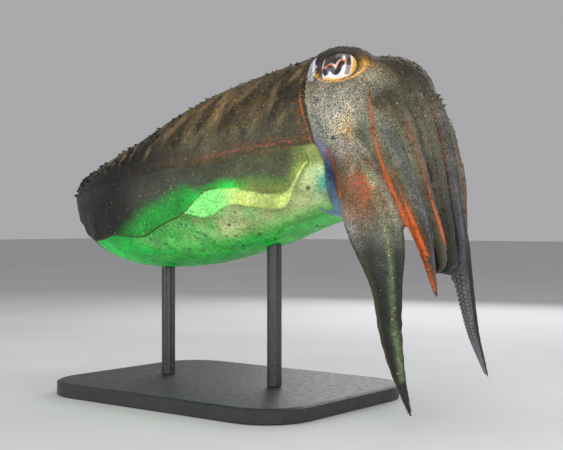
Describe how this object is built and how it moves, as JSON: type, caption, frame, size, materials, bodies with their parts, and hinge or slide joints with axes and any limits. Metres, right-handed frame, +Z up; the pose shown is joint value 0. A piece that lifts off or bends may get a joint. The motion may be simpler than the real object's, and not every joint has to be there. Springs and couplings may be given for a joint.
{
  "type": "common cuttlefish display model",
  "caption": "Life-size still model of a common cuttlefish, arms hanging and fins waved, held by two rods on a flat base.",
  "frame": {"origin": "under the middle of the stand's base, on the surface that it stands on", "axes": "+X towards the head, +Z up, the animal's right side towards -Y; millimetres in the source"},
  "size_m": [0.2028, 0.096, 0.1399],
  "materials": {
    "skin": "painted flexible cast, satin",
    "fin_skin": "painted flexible cast, satin",
    "pale_flesh": "painted flexible cast, moist gloss",
    "eye": "clear gloss",
    "stand_base": "matt black paint",
    "stand_rod": "brushed"
  },
  "bodies": {
    "root": {"mantle": "skin", "head": "skin", "funnel": "pale_flesh", "mouth": "pale_flesh", "fin_right": "fin_skin", "fin_left": "fin_skin", "eye_right": "eye", "eye_left": "eye", "arm_1_right_base": "skin", "arm_1_right_tip": "skin", "arm_1_left_base": "skin", "arm_1_left_tip": "skin", "arm_2_right_base": "skin", "arm_2_right_tip": "skin", "arm_2_left_base": "skin", "arm_2_left_tip": "skin", "arm_3_right_base": "skin", "arm_3_right_tip": "skin", "arm_3_left_base": "skin", "arm_3_left_tip": "skin", "arm_4_right_base": "skin", "arm_4_right_tip": "skin", "arm_4_left_base": "skin", "arm_4_left_tip": "skin", "stand_base": "stand_base", "stand_rod_front": "stand_rod", "stand_rod_rear": "stand_rod"}
  },
  "joints": []
}
